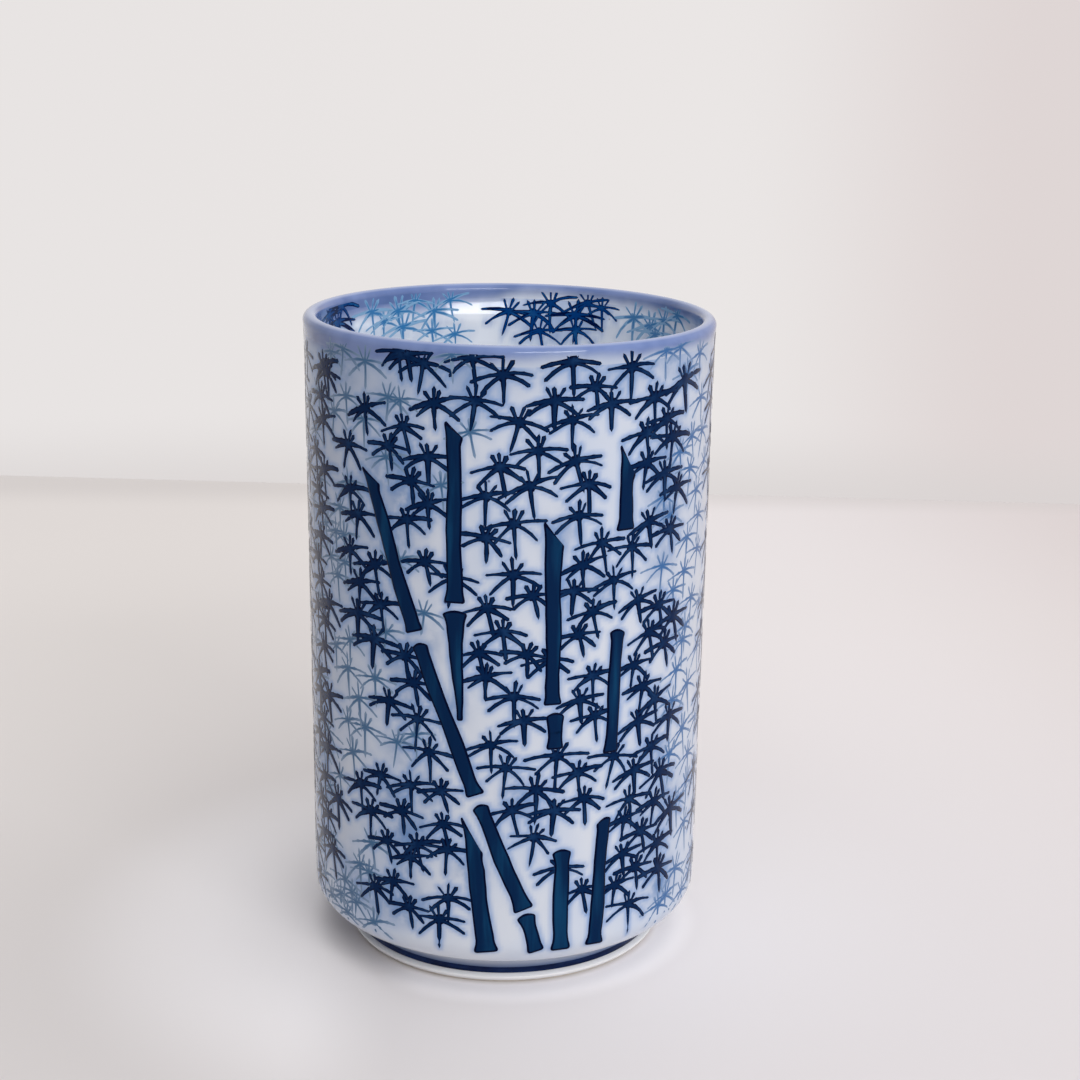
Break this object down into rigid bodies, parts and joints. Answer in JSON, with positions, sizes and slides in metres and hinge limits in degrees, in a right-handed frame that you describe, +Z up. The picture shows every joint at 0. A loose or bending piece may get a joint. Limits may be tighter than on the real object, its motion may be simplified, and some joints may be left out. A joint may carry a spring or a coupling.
{
  "type": "tea cup",
  "caption": "Tall straight-sided porcelain tea cup without a handle, on a low foot ring, with a blue lip and a raised blue bamboo pattern.",
  "frame": {"origin": "middle of the foot's underside, on the table", "axes": "+Z up along the cup's axis, -Y towards the viewer of the picture"},
  "size_m": [0.066, 0.066, 0.105],
  "materials": {
    "biscuit": "unglazed fired porcelain, matt",
    "clear_glaze": "clear glossy glaze on white porcelain",
    "rim_blue": "glossy glaze tinted lavender blue",
    "cobalt": "thick dark cobalt blue under gloss"
  },
  "bodies": {
    "root": {"porcelain_body": "biscuit", "foot_ring": "biscuit", "outer_glaze": "clear_glaze", "inner_glaze": "clear_glaze", "rim_glaze": "rim_blue", "foot_line": "cobalt", "foot_glaze": "clear_glaze", "well_glaze": "clear_glaze", "bamboo_culms": "cobalt"}
  },
  "joints": []
}
